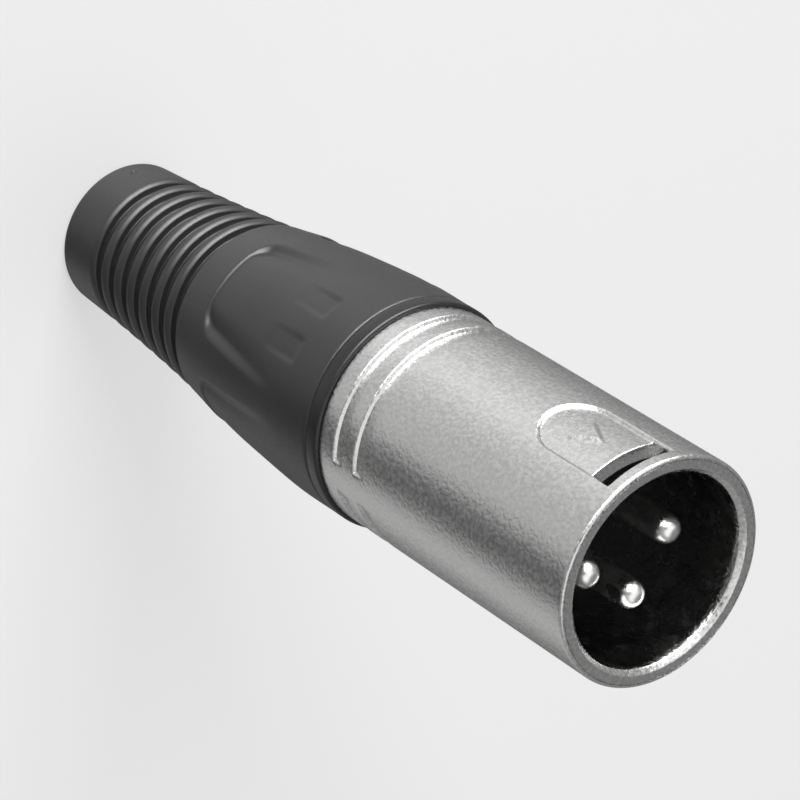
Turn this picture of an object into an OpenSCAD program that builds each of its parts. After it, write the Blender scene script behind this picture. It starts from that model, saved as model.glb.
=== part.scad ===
// Three-pole male cable plug: metal shell, contact insert, clamp chuck, screwed gland and rubber boot.
// It stands on the rear end of its boot. +Z runs along the axis from the cable end to the mouth,
// the latch window faces -Y, and z = 0 is the rear face of the boot.

/* [Overall] */
// Length from the cable end of the boot to the rim of the mouth
total_len = 72.7; // [71:0.1:75]
// Length of the metal shell that shows
shell_len = 30.3; // [29.5:0.1:31.5]
// Outer diameter of the metal shell
shell_d = 19; // [18.8:0.1:19.2]

/* [Mouth] */
// Thickness of the wall of the mouth
mouth_wall = 1.45; // [1.4:0.05:1.55]
// Depth from the rim to the face of the insert
mouth_depth = 15; // [14:0.25:16]
// Rounding of the outer edge of the rim
rim_round = 0.3; // [0.2:0.05:0.6]
// Chamfer of the inner edge of the rim
rim_chamfer = 0.55; // [0.1:0.05:0.7]

/* [Thumb recess and latch window] */
// Width of the recess
recess_w = 6.2; // [5.8:0.1:7]
// Distance from the rim to the rounded end of the recess
recess_end = 11.35; // [10.5:0.05:12]
// Depth of the recess
recess_deep = 0.45; // [0.3:0.05:0.5]
// Width of the bridge between the window and the rim
bridge_w = 1.1; // [0.9:0.1:1.5]
// Opening of the window along the axis
window_len = 2.1; // [1.8:0.1:2.8]
// Length of the raised arrow
arrow_len = 3.3; // [2.5:0.1:3.5]
// Width of the base of the arrow
arrow_w = 3.4; // [2.5:0.1:3.5]
// Distance from the rim to the tip of the arrow
arrow_tip = 4.9; // [4.7:0.1:5.2]
// Height of the arrow over the floor of the recess
arrow_rise = 0.25; // [0.1:0.05:0.3]

/* [Rings near the boot] */
// Distances from the rim to the steep ledges
ledge_at = [25.8, 28.4]; // [24:0.1:29]
// Length of the ramp in front of each ledge
ramp_len = [1.5, 1.25]; // [1:0.05:1.6]
// Depth of each ledge
ledge_deep = 0.42; // [0.2:0.02:0.46]
// Plain gap on each side of the shell, in degrees
ring_gap = 17.5; // [10:0.5:30]

/* [Contacts] */
// Diameter of a contact pin
pin_d = 2.4; // [2.3:0.05:2.5]
// Diameter of the root of a pin, which the face of the insert is moulded round
root_d = 2; // [1.8:0.05:2.05]
// Distance from the axis of a pin to the wall of the mouth
pin_to_wall = 4.09; // [3.9:0.01:4.2]
// Distance from the rim to the tips of the pins
tip_deep = 3; // [2:0.25:4]
// Diameter of a solder cup and of the shank in front of it
cup_d = 2.8; // [2.75:0.05:2.9]
// Diameter of the hole in a solder cup
cup_bore = 2; // [1.8:0.05:2.1]
// Length of a solder cup behind the insert
cup_len = 5; // [4:0.25:5]

/* [Insert and chuck] */
// Thickness of the disc of the insert
insert_t = 4; // [3.5:0.1:4.5]
// Length of the block of the insert behind the disc
tower_len = 4.7; // [4:0.1:5]
// Length of the ring of the chuck, between the insert and the neck of the gland
chuck_ring_len = 4.1; // [3.5:0.1:5]
// Length of the cone that closes the jaws
cone_len = 6; // [5:0.5:7]

/* [Gland and boot] */
// Step from the shell up to the flange that meets it
flange_step = 0.35; // [0.2:0.05:0.5]
// Thickness of the flange
flange_t = 1.45; // [1.2:0.05:1.6]
// Pitch of the thread; on this plain neck it sets the relief groove and the chamfer
thread_pitch = 1; // [0.75:0.25:1]
// Hole for the cable
cable_hole = 7; // [6:0.25:7]
// Distance from the rear end to the first groove
collar_len = 5.95; // [5.5:0.05:6.5]
// Number of bending grooves
groove_count = 7; // [5:1:7]
// Pitch of the bending grooves
groove_pitch = 2.21; // [2.1:0.01:2.25]
// Radius of the bottom of a groove
groove_r = 0.52; // [0.4:0.02:0.55]
// Depth of a groove
groove_deep = 0.85; // [0.6:0.05:0.9]

/* [Grip of the boot] */
// Number of finger scoops
scoop_count = 4; // [2:1:4]
// Width of a scoop, in degrees
scoop_angle = 73; // [50:1:74]
// Depth of a scoop at its rear end
scoop_deep = 0.5; // [0.2:0.05:0.6]
// Distance from the last groove to the rear ends of the scoops
scoop_gap = 4.69; // [4:0.1:5.5]
// Distance from the flange to where a scoop has run out
scoop_land = 4.45; // [3:0.1:5]
// Width of a grip notch, in degrees
notch_angle = 13.5; // [8:0.5:14]
// Angle of the two notches on either side of the middle of a scoop
notch_side = 12.9; // [10:0.1:16]
// Depth of a notch at its front end
notch_deep = 0.3; // [0.1:0.05:0.4]
// Length of a notch
notch_len = 6.3; // [5:0.1:7]
// Distance from the flange to the steep front end of a notch
notch_land = 3.45; // [3:0.1:4]
// Turn of the boot on its thread at rest, in degrees from +X
boot_roll = -60; // [-90:1:90]

/* [Fits] */
// Running gap between pieces that turn or slide on each other, on the radius
run_gap = 0.1; // [0.08:0.01:0.12]
// Gap between pieces that are pressed or pushed together, on the radius
seat_gap = 0.03; // [0.02:0.01:0.05]

/* [Hidden] */
$fn = 96;
over = 1;                                     // how far a cutting shape runs past a surface

// Places along the axis
joint_z = total_len - shell_len;              // rear face of the shell, on the flange of the gland
insert_front = total_len - mouth_depth;       // face of the insert, and the step in the shell
insert_rear = insert_front - insert_t;
shank_skin = 0.5;                             // insert in front of a shank, round the root of the pin
shank_front = insert_front - shank_skin;
tower_rear = insert_rear - tower_len;
cup_rear = tower_rear - cup_len;
cup_floor = 0.8;                              // solid metal left in front of the hole of a cup
cup_mouth_len = 2.8;                          // length of the cut that opens a cup to one side
pin_tip = total_len - tip_deep;
chuck_front = insert_rear - run_gap;
chuck_ring_rear = chuck_front - chuck_ring_len;
neck_front = chuck_ring_rear - run_gap;       // front end of the threaded neck, inside the shell
cup_room_len = 2.5;                           // room behind the cups, before the bore narrows
cup_room_cone = 3;                            // length over which it narrows
boot_front = joint_z - flange_t;
core_plain_len = 7.95;                        // length of the core at its full width, inside the boot
core_nose_len = 9;                            // length over which the core then narrows
cone_inset = 5.95;                            // distance from the boot's front to the closing cone
jaw_tip_len = 1.4;                            // how far the jaws reach past the cone
core_taper = boot_front - core_plain_len;
core_rear = core_taper - core_nose_len;       // rear end of the gland core, inside the boot
cone_front = boot_front - cone_inset;         // wide end of the closing cone in the core
cone_rear = cone_front - cone_len;
chuck_rear = cone_rear - jaw_tip_len;         // rear ends of the jaws
funnel_len = 3;                               // length over which the boot narrows to the cable
scoop_from = collar_len + (groove_count - 1) * groove_pitch + scoop_gap;
scoop_to = boot_front - scoop_land;
notch_to = boot_front - notch_land;
notch_from = notch_to - notch_len;

// Radii, outside and in
shell_r = shell_d / 2;
flange_r = shell_r + flange_step;
mouth_r = shell_r - mouth_wall;
thread_wall = 1.2;                            // wall of the shell around the thread
thread_bore_r = shell_r - thread_wall;        // bore of the shell behind the step
disc_r = thread_bore_r - seat_gap;
neck_wall = 1.7;                              // wall of the gland core around the chuck
neck_r = thread_bore_r - run_gap;
core_bore_r = neck_r - neck_wall;
pin_r = pin_d / 2;
root_r = root_d / 2;
pin_circle = mouth_r - pin_to_wall;           // radius of the circle that the pins stand on
cup_r = cup_d / 2;
cup_cut = cup_bore / 4;                       // distance from the axis of a cup to its side cut
tower_wall = 0.54;
cup_room_gap = 0.24;                          // gap between the solder cups and the chuck
jaw_opening = 0.2;                            // gap between the cable and the open jaws
jaw_wall = 0.6;                               // wall of the jaws at their rear ends
core_slim = 1.8;                              // how much the core narrows towards its rear end
tab_under = 0.7;                              // how deep the lug lies in the block of the insert
tower_r = pin_circle + cup_r + tower_wall;
cup_room_r = pin_circle + cup_r + cup_room_gap;         // bore of the chuck around the solder cups
jaw_r = core_bore_r - run_gap;
cable_r = cable_hole / 2;
grip_r = cable_r + jaw_opening;               // bore of the jaws
throat_r = grip_r + jaw_wall;                 // narrow end of the cone in the gland core
core_r = neck_r;                              // outside of the core, inside the boot
core_rear_r = core_r - core_slim;

// Ground tab, between the shell and the inside of the chuck
tab_w = 2;
tab_t = 0.4;
tab_outer = thread_bore_r - run_gap;          // outer face of the leg that touches the shell
tab_inner = tower_r - tab_under;              // outer face of the lug behind the disc
tab_lug_rear = cup_rear + 1;
tab_hole_r = 0.55;
tab_slot = tab_w + 2 * seat_gap;              // width of the slots for it in the insert

// Jaws of the chuck
jaw_slot = 1.1;
jaw_slot_len = 12;
jaw_count = 4;

// Small edges
thread_chamfer = thread_pitch * 0.3;
thread_relief = thread_pitch / 2;             // depth of the groove between the thread and the flange
relief_len = 1;
flange_edge = 0.3;
boot_edge = 0.5;
front_edge = 0.25;

// Pin number 1 stands on +X, 2 on -X and 3 on +Y, opposite the window
pin_angle = [0, 180, 90];

// Profile of the boot, joined by smooth curves: share of its length, and how far it lies in from the flange
boot_knots = [[0, 3.27], [0.1453, 2.94], [0.293, 2.49], [0.476, 1.75],
              [0.642, 0.71], [0.772, 0.27], [0.901, -0.01], [1, 0.01]];

// Smooth radius between knot i and the next one
function knot_slope(i) =
    let (a = max(i - 1, 0), b = min(i + 1, len(boot_knots) - 1))
    (boot_knots[b][1] - boot_knots[a][1]) / (boot_knots[b][0] - boot_knots[a][0]);
function knot_curve(i, t) =
    let (h = boot_knots[i + 1][0] - boot_knots[i][0])
    (2 * t * t * t - 3 * t * t + 1) * boot_knots[i][1] + (t * t * t - 2 * t * t + t) * h * knot_slope(i)
    + (3 * t * t - 2 * t * t * t) * boot_knots[i + 1][1] + (t * t * t - t * t) * h * knot_slope(i + 1);
function boot_r(z) =
    let (share = z / boot_front,
         i = max([for (k = [0 : len(boot_knots) - 2]) boot_knots[k][0] <= share ? k : 0]),
         t = (share - boot_knots[i][0]) / (boot_knots[i + 1][0] - boot_knots[i][0]))
    flange_r - knot_curve(i, t);
function steps(from, to, n) = [for (k = [0 : n]) from + (to - from) * k / n];

// U-shaped outline with its round end at the bottom, in the plane of x and z
module u_outline(width, top, bottom) {
    translate([0, bottom + width / 2]) circle(d = width);
    translate([-width / 2, bottom + width / 2]) square([width, top - bottom - width / 2]);
}

// Turns an outline drawn in x and z into a prism that runs outwards along -Y
module to_window(depth) {
    rotate([90, 0, 0]) linear_extrude(depth) children();
}

// Band between two radii
module band(inner_r, outer_r) {
    difference() {
        cylinder(h = total_len, r = outer_r);
        translate([0, 0, -over]) cylinder(h = total_len + 2 * over, r = inner_r);
    }
}

// Half section of the shell
module shell_section() {
    difference() {
        translate([0, joint_z]) square([shell_r, shell_len]);
        translate([-over, joint_z - over]) square([thread_bore_r + over, insert_front - joint_z + over]);
        translate([-over, insert_front - over]) square([mouth_r + over, mouth_depth + 2 * over]);
        translate([mouth_r, total_len]) rotate(45) square(rim_chamfer * sqrt(2), center = true);
        difference() {
            translate([shell_r - rim_round, total_len - rim_round]) square(rim_round + over);
            translate([shell_r - rim_round, total_len - rim_round]) circle(rim_round);
        }
    }
}

// One saw-tooth ring: steep on the boot side, running out towards the mouth, in two halves
module ring_cut(ledge, ramp) {
    z = total_len - ledge;
    for (side = [0, 180])
        rotate(side + ring_gap / 2)
            rotate_extrude(angle = 180 - ring_gap)
                polygon([[shell_r - ledge_deep, z], [shell_r + ledge_deep, z],
                         [shell_r + ledge_deep, z + ramp + ramp], [shell_r, z + ramp]]);
}

// Raised arrow on the floor of the recess, pointing to the mouth
module arrow() {
    tip_z = total_len - arrow_tip;
    floor_r = shell_r - recess_deep;
    intersection() {
        band(floor_r - recess_deep, floor_r + arrow_rise);
        to_window(shell_r + over)
            polygon([[0, tip_z], [arrow_w / 2, tip_z - arrow_len], [-arrow_w / 2, tip_z - arrow_len]]);
    }
}

module shell() {
    color([0.78, 0.78, 0.77]) {
        difference() {
            rotate_extrude() shell_section();
            for (i = [0 : len(ledge_at) - 1]) ring_cut(ledge_at[i], ramp_len[i]);
            intersection() {
                band(shell_r - recess_deep, shell_r + over);
                to_window(shell_r + 2 * over)
                    u_outline(recess_w, total_len - bridge_w, total_len - recess_end);
            }
            translate([-recess_w / 2, -shell_r - over, total_len - bridge_w - window_len])
                cube([recess_w, shell_r - recess_w / 2, window_len]);
        }
        arrow();
    }
}

// Slot in the insert from its edge to just behind one leg of the ground tab
module tab_slot_cut(from_z, height, leg_face) {
    translate([-tab_slot / 2, -disc_r - over, from_z])
        cube([tab_slot, disc_r + over - leg_face + tab_t + seat_gap, height]);
}

module insert() {
    color([0.05, 0.05, 0.05])
        difference() {
            union() {
                translate([0, 0, insert_rear]) cylinder(h = insert_t, r = disc_r);
                translate([0, 0, tower_rear]) cylinder(h = insert_rear - tower_rear + over, r = tower_r);
            }
            for (a = pin_angle) rotate(a) translate([pin_circle, 0, 0]) {
                translate([0, 0, insert_rear]) cylinder(h = insert_t + over, r = root_r + seat_gap, $fn = 48);
                translate([0, 0, tower_rear - over])
                    cylinder(h = shank_front + seat_gap - tower_rear + over, r = cup_r + seat_gap, $fn = 48);
            }
            tab_slot_cut(insert_rear - over, insert_t - tab_t + over, tab_outer);
            tab_slot_cut(insert_rear - over, tab_t + seat_gap + over, tab_inner);
            tab_slot_cut(tower_rear - over, insert_rear - tower_rear + over, tab_inner);
        }
}

// Turned contact: a domed pin, a slim root and a shank in the insert, and a solder cup cut open on a side
module contact(number) {
    color([0.86, 0.86, 0.84])
        rotate(pin_angle[number - 1]) translate([pin_circle, 0, 0])
            difference() {
                union() {
                    translate([0, 0, cup_rear])
                        cylinder(h = shank_front - cup_rear, r = cup_r, $fn = 48);
                    translate([0, 0, insert_rear]) cylinder(h = insert_t + over, r = root_r, $fn = 48);
                    translate([0, 0, insert_front])
                        cylinder(h = pin_tip - pin_r - insert_front, r = pin_r, $fn = 48);
                    translate([0, 0, pin_tip - pin_r]) sphere(pin_r, $fn = 48);
                }
                translate([0, 0, cup_rear - over])
                    cylinder(h = cup_len - cup_floor + over, d = cup_bore, $fn = 48);
                translate([-cup_d - cup_cut, -cup_d, cup_rear - over])
                    cube([cup_d, 2 * cup_d, cup_mouth_len + over]);
            }
}

module pin_1() { contact(1); }
module pin_2() { contact(2); }
module pin_3() { contact(3); }

// Bent strip that joins the shell to a solder lug
module ground_tab() {
    color([0.8, 0.79, 0.75]) {
        translate([-tab_w / 2, -tab_outer, insert_rear]) cube([tab_w, tab_t, insert_t - 2 * tab_t]);
        translate([-tab_w / 2, -tab_outer, insert_rear]) cube([tab_w, tab_outer - tab_inner + tab_t, tab_t]);
        difference() {
            translate([-tab_w / 2, -tab_inner, tab_lug_rear])
                cube([tab_w, tab_t, insert_rear - tab_lug_rear + tab_t]);
            translate([0, -tab_inner - over, tab_lug_rear + 2 * tab_hole_r])
                rotate([-90, 0, 0]) cylinder(h = tab_t + 2 * over, r = tab_hole_r, $fn = 32);
        }
    }
}

// Clamp chuck: a ring that bears on the insert, and four jaws that the cone closes on the cable
module chuck_section() {
    difference() {
        union() {
            translate([tower_r, chuck_ring_rear])
                square([thread_bore_r - run_gap - tower_r, chuck_front - chuck_ring_rear]);
            polygon([[grip_r, chuck_rear], [throat_r - run_gap, chuck_rear], [throat_r - run_gap, cone_rear],
                     [jaw_r, cone_front], [jaw_r, chuck_ring_rear + over],
                     [cup_room_r, chuck_ring_rear + over], [cup_room_r, cup_rear - cup_room_len],
                     [grip_r, cup_rear - cup_room_len - cup_room_cone]]);
        }
        translate([0, tower_rear - seat_gap - run_gap])
            square([tower_r + run_gap, insert_rear - tower_rear + over]);
    }
}

module chuck() {
    color([0.16, 0.16, 0.17])
        difference() {
            rotate_extrude() chuck_section();
            for (k = [0 : jaw_count - 1]) rotate(45 + k * 360 / jaw_count)
                translate([0, -jaw_slot / 2, chuck_rear - over])
                    cube([thread_bore_r, jaw_slot, jaw_slot_len + over]);
        }
}

// Gland core: flange on the shell, threaded neck in it, and a tube with the closing cone in the boot
module gland_core() {
    color([0.09, 0.09, 0.1])
        rotate_extrude()
            polygon([[core_bore_r, neck_front], [neck_r - thread_chamfer, neck_front],
                     [neck_r, neck_front - thread_chamfer], [neck_r, joint_z + relief_len],
                     [neck_r - thread_relief, joint_z + relief_len - thread_relief],
                     [neck_r - thread_relief, joint_z], [flange_r - flange_edge, joint_z],
                     [flange_r, joint_z - flange_edge], [flange_r, boot_front + front_edge],
                     [flange_r - front_edge, boot_front], [core_r, boot_front], [core_r, core_taper],
                     [core_rear_r, core_rear], [throat_r, core_rear], [throat_r, cone_rear],
                     [core_bore_r, cone_front]]);
}

// Half section of the boot: smooth outside with bending grooves, bonded to the core inside
module boot_section() {
    difference() {
        polygon(concat(
            [[0, 0], [boot_r(0) - boot_edge, 0], [boot_r(0) - boot_edge * 0.3, boot_edge * 0.3],
             [boot_r(boot_edge), boot_edge]],
            [for (z = steps(collar_len / 2, boot_front - front_edge, 26)) [boot_r(z), z]],
            [[boot_r(boot_front) - front_edge, boot_front], [0, boot_front]]));
        translate([-over, -over]) square([cable_r + over, boot_front + 2 * over]);
        polygon([[0, core_rear], [core_rear_r, core_rear], [core_r, core_taper], [core_r, boot_front + over],
                 [0, boot_front + over]]);
        polygon([[0, core_rear], [throat_r, core_rear], [cable_r, core_rear - funnel_len],
                 [0, core_rear - funnel_len]]);
        for (k = [0 : groove_count - 1])
            let (z = collar_len + k * groove_pitch)
            translate([boot_r(z) - groove_deep + groove_r, z]) {
                circle(groove_r, $fn = 48);
                translate([0, -groove_r]) square([groove_deep + over, 2 * groove_r]);
            }
    }
}

// Wedge between two angles that is cut to a depth at one place along the boot and to another at the next
module grip_cut(angle, places, depths) {
    rotate(-angle / 2)
        rotate_extrude(angle = angle)
            polygon(concat([for (i = [0 : len(places) - 1]) [boot_r(places[i]) - depths[i], places[i]]],
                           [[boot_r(places[len(places) - 1]) + over, places[len(places) - 1]],
                            [boot_r(places[0]) + over, places[0]]]));
}

// One finger scoop: deep and steep at the rear, running out towards the shell, with two grip notches
module scoop_cut() {
    grip_cut(scoop_angle, [scoop_from, (scoop_from + scoop_to) / 2, scoop_to], [1, 0.6, 0] * scoop_deep);
    for (side = [-1, 1])
        rotate(side * notch_side)
            grip_cut(notch_angle, [notch_from, notch_to], [scoop_deep * 0.45, notch_deep]);
}

module boot() {
    color([0.12, 0.12, 0.12])
        difference() {
            rotate_extrude() boot_section();
            for (k = [0 : scoop_count - 1]) rotate(boot_roll + k * 360 / scoop_count) scoop_cut();
        }
}

shell();
insert();
pin_1();
pin_2();
pin_3();
ground_tab();
chuck();
gland_core();
boot();
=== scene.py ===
from math import asin, cos, hypot, pi, radians, sin

import bpy
import numpy as np
from bpy.props import FloatProperty, FloatVectorProperty, IntProperty, PointerProperty
from mathutils import Matrix, Vector


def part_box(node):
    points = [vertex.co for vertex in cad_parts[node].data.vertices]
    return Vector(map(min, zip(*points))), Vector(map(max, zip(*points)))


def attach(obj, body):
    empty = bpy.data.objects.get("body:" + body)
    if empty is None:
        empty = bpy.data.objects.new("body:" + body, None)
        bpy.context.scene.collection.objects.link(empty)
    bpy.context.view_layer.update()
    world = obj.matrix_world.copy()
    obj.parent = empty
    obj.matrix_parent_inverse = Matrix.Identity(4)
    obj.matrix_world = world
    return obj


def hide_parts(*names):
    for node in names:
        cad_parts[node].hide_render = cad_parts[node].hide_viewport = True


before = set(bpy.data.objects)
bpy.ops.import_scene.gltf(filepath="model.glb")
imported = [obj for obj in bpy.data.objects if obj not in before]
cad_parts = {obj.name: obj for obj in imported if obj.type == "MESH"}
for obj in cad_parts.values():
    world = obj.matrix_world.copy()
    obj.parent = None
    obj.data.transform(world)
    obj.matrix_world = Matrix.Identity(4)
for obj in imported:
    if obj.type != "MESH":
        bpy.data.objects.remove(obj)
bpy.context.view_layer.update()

bl_info = {
    "name": "Cable plug builder",
    "version": (1, 0, 0),
    "blender": (4, 5, 0),
    "location": "3D View > Sidebar > Cable plug",
    "description": "Makes a three-pole male cable plug with a nickel shell and a rubber boot",
    "category": "Add Mesh",
}

MM = 0.001
SHELL_LOW, SHELL_HIGH = (Vector(corner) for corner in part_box("shell"))
PIN_LOW, PIN_HIGH = (Vector(corner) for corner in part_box("pin_1"))
FLANGE_HIGH = Vector(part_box("gland_core")[1])

RIM = SHELL_HIGH.z
JOINT = SHELL_LOW.z
SHELL_R = SHELL_HIGH.x
FLANGE_R = FLANGE_HIGH.x
BOOT_FRONT = Vector(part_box("boot")[1]).z
INSERT_FACE = Vector(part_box("insert")[1]).z

# Turn of each contact round the axis, from +X
PIN_TURNS = {"pin_1": 0, "pin_2": 180, "pin_3": 90}

# Profile of the boot: share of its length, and how far it lies in from the flange, in millimetres
BOOT_KNOTS = ((0, 3.27), (0.1453, 2.94), (0.293, 2.49), (0.476, 1.75),
              (0.642, 0.71), (0.772, 0.27), (0.901, -0.01), (1, 0.01))

# Edge of the thumb recess: distance in from its outline in millimetres, and share of its depth
RECESS_EDGE = ((-0.13, -0.08, -0.03, 0.05, 0.12, 0.18, 0.23, 0.28),
               (0, 0.05, 0.15, 0.39, 0.64, 0.85, 0.96, 1))

# Columns of the shell's mesh over that edge, in millimetres out from the outline; one more lies at the lip
RECESS_COLUMNS = (-0.28, -0.23, -0.18, -0.14, -0.11, -0.05, -0.01, 0.03, 0.08, 0.11)
RECESS_LIP = 0.14 * MM

# Pitch of the mesh over the recess and its arrow, and angle past it over which the columns turn radial
RECESS_PITCH = 0.05 * MM
RECESS_BLEND = radians(40)

# Columns round each end of the rings, in degrees toward the gap, and how far into the gap the rings start
# to rise and over how many degrees they do
RING_COLUMNS = (-1.6, -1.2, -0.8, -0.4, 0, 0.4)
RING_START, RING_RISE = 0.4, 1.6

# Saw-tooth ring: height over the ledge in millimetres, and share of its depth, up to where the ramp starts
LEDGE_STEP = ((-0.18, -0.12, -0.07, -0.03, 0.01, 0.10), (0, 0.05, 0.16, 0.32, 0.52, 1))

# Scoop of the boot: share of the way from its rear edge to its front end, and share of its depth
SCOOP_RUN = ((0, 0.25, 0.5, 0.75, 0.92, 1), (1, 0.84, 0.6, 0.3, 0.06, 0))

# Scoop across its half width: where it starts to deepen outward, and over how much more it does
SCOOP_OUTWARD = (0.45, 0.5)

# How much wider the soft rear edge of a scoop is at its corners, as a share of its width in the middle
CORNER_SOFTNESS = 2.5

# Soft sides, front end and rear end of a notch, and depth of its rear end as a share of a scoop's
NOTCH_SIDE, NOTCH_FRONT, NOTCH_REAR = 0.16 * MM, 0.8 * MM, 2.5 * MM
NOTCH_REAR_SINK = 0.1

# Radii of the boot at which widths across its scoops, notches and collar are laid off
SCOOP_R = 9.3 * MM
NOTCH_R = 9.8 * MM
COLLAR_R = 6.9 * MM

# Facets round the turned gland core and columns round the boot
GLAND_FACETS = 192
BOOT_COLUMNS = 276

# Width of a thread at its root, as a share of its pitch, and how deep that root sits in the wall
THREAD_ROOT = 0.72
SHELL_SINK = 0.05 * MM
NECK_SINK = 0.04 * MM


def length(name, description, millimetres):
    """Property for a length, with its default in millimetres"""
    return FloatProperty(name=name, description=description, default=millimetres * MM, unit="LENGTH",
                         precision=5)


def angle(name, description, degrees):
    """Property for an angle, with its default in degrees"""
    return FloatProperty(name=name, description=description, default=radians(degrees), subtype="ANGLE")


def colour(name, description, rgb):
    """Property for a colour"""
    return FloatVectorProperty(name=name, description=description, default=rgb, size=3, min=0, max=1,
                               subtype="COLOR")


def share(name, description, value):
    """Property for a share, from 0 to 1"""
    return FloatProperty(name=name, description=description, default=value, min=0, max=1, subtype="FACTOR")


class ShellSizes(bpy.types.PropertyGroup):
    """Sizes of the metal shell"""

    mouth_wall: length("Mouth wall", "Thickness of the wall of the mouth", 1.45)
    thread_wall: length("Thread wall", "Thickness of the wall round the thread", 1.2)
    rim_round: length("Rim rounding", "Rounding of the outer edge of the rim", 0.3)
    rim_line: length("Rim line", "Width and depth of the fine groove between rounding and face", 0.09)
    rim_chamfer: length("Rim chamfer", "Chamfer of the inner edge of the rim", 0.36)
    recess_width: length("Recess width", "Width of the thumb recess", 6.2)
    recess_end: length("Recess end", "Distance from the rim to the rounded end of the recess", 11.35)
    recess_deep: length("Recess depth", "Depth of the thumb recess", 0.3)
    recess_wall: length("Recess wall", "How far the sides of the window lie in from the recess's", 0.11)
    bridge: length("Bridge", "Width of the bridge between the window and the rim", 1.1)
    window: length("Window", "Opening of the latch window along the axis", 2.1)
    window_edge: length("Window edge", "Rounding of the edges of the latch window", 0.13)
    arrow_tip: length("Arrow tip", "Distance from the rim to the tip of the arrow", 4.9)
    arrow_long: length("Arrow length", "Length of the raised arrow", 3.3)
    arrow_wide: length("Arrow width", "Width of the base of the arrow", 3.4)
    arrow_rise: length("Arrow rise", "Height of the arrow over the recess", 0.2)
    arrow_flank: length("Arrow flank", "Width of the sloping sides of the arrow", 0.5)
    ledge_1: length("First ledge", "Distance from the rim to the first ledge", 25.8)
    ledge_2: length("Second ledge", "Distance from the rim to the second ledge", 28.4)
    ramp_1: length("First ramp", "Length of the ramp in front of the first ledge", 1.5)
    ramp_2: length("Second ramp", "Length of the ramp in front of the second ledge", 1.25)
    ledge_deep: length("Ledge depth", "Depth of each ledge", 0.3)
    ring_gap: angle("Ring gap", "Plain gap in the rings on each side of the shell", 17.5)


class GlandSizes(bpy.types.PropertyGroup):
    """Sizes of the gland core and of the thread"""

    neck_radius: length("Neck radius", "Radius of the neck over its thread", 8.2)
    bore_radius: length("Bore radius", "Radius of the bore of the gland core round the chuck", 6.5)
    throat_radius: length("Throat radius", "Radius at the narrow end of the closing cone", 4.3)
    rear_radius: length("Rear radius", "Outer radius at the rear end inside the boot", 6.4)
    rear: length("Rear end", "Distance from the flange to the rear end", 16.95)
    taper: length("Taper", "Distance from the flange to where the core starts to narrow", 7.95)
    cone_front: length("Cone front", "Distance from the flange to the wide end of the cone", 5.95)
    cone_long: length("Cone length", "Length of the closing cone", 6)
    flange_edge: length("Flange edge", "Rounding of the edges of the flange", 0.3)
    thread_pitch: length("Thread pitch", "Pitch of the thread between gland and shell", 1)
    thread_deep: length("Thread depth", "Depth of the thread", 0.52)
    thread_crest: length("Thread crest", "Width of the crest of a thread", 0.24)
    thread_turns: FloatProperty(name="Thread turns", description="Turns of thread on the neck", default=5,
                                min=1, max=8)
    shell_turns: FloatProperty(name="Shell turns", default=1.8, min=1, max=8,
                               description="Turns of thread in the shell, behind the travel of the chuck")
    thread_start: length("Thread start", "Distance from the flange to the thread on the neck", 1.3)
    thread_steps: IntProperty(name="Thread steps", description="Points on each turn of thread", default=96,
                              min=16, max=256)


class BootSizes(bpy.types.PropertyGroup):
    """Sizes of the rubber boot"""

    cable_radius: length("Cable hole", "Radius of the hole for the cable", 3.5)
    rear_round: length("Rear rounding", "Rounding of the rear edge", 0.6)
    front_round: length("Front rounding", "Rounding of the front edge, under the flange", 0.25)
    collar: length("Collar", "Distance from the rear end to the first groove", 5.95)
    groove_count: IntProperty(name="Grooves", description="Number of bending grooves", default=7, min=1,
                              max=7)
    groove_pitch: length("Groove pitch", "Pitch of the bending grooves", 2.21)
    groove_deep: length("Groove depth", "Depth of a groove", 0.85)
    rib_round: length("Rib rounding", "Width of each rounded side of a rib", 0.56)
    rib_drop: length("Rib drop", "How far the rounded sides of a rib fall to the walls of its grooves", 0.28)
    groove_floor: length("Groove floor", "Half of the width of the bottom of a groove", 0.5)
    scoop_count: IntProperty(name="Scoops", description="Number of finger scoops", default=4, min=1, max=6)
    scoop_width: angle("Scoop width", "Width of a finger scoop", 73)
    scoop_deep: length("Scoop depth", "Depth of a scoop at its rear corners", 0.6)
    scoop_rear: length("Scoop rear", "Distance from the rear end of the boot to a scoop", 23.9)
    scoop_land: length("Scoop land", "Distance from the flange to where a scoop has run out", 4.45)
    scoop_corner: length("Scoop corner", "Radius of the rear corners of a scoop", 1.9)
    scoop_side: length("Scoop side", "Width of the soft sides of a scoop", 1.1)
    scoop_flare: length("Scoop flare", "How far each side of a scoop moves out, rear to front", 1.3)
    scoop_middle: share("Scoop middle", "Depth of the middle of a scoop, as a share of its corners", 0.29)
    scoop_edge: length("Scoop edge", "Width of the soft rear edge of a scoop", 0.32)
    notch_width: angle("Notch width", "Width of a grip notch", 13.5)
    notch_side: angle("Notch angle", "Angle from the middle of a scoop to a notch", 12.9)
    notch_deep: length("Notch depth", "Depth of a notch at its front end", 0.2)
    notch_long: length("Notch length", "Length of a notch", 6.3)
    notch_land: length("Notch land", "Distance from the flange to the front end of a notch", 3.45)
    turn: angle("Turn", "Turn of the boot on its thread, from +X to the middle of a scoop", -60)
    nub_turn: angle("Nub turn", "Place of the moulding nub round the collar", -96.9)
    nub_up: length("Nub place", "Height of the moulding nub over the rear end", 1.87)
    nub_size: length("Nub size", "Radius of the moulding nub", 0.4)
    nub_rise: length("Nub height", "Height of the moulding nub", 0.21)


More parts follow.
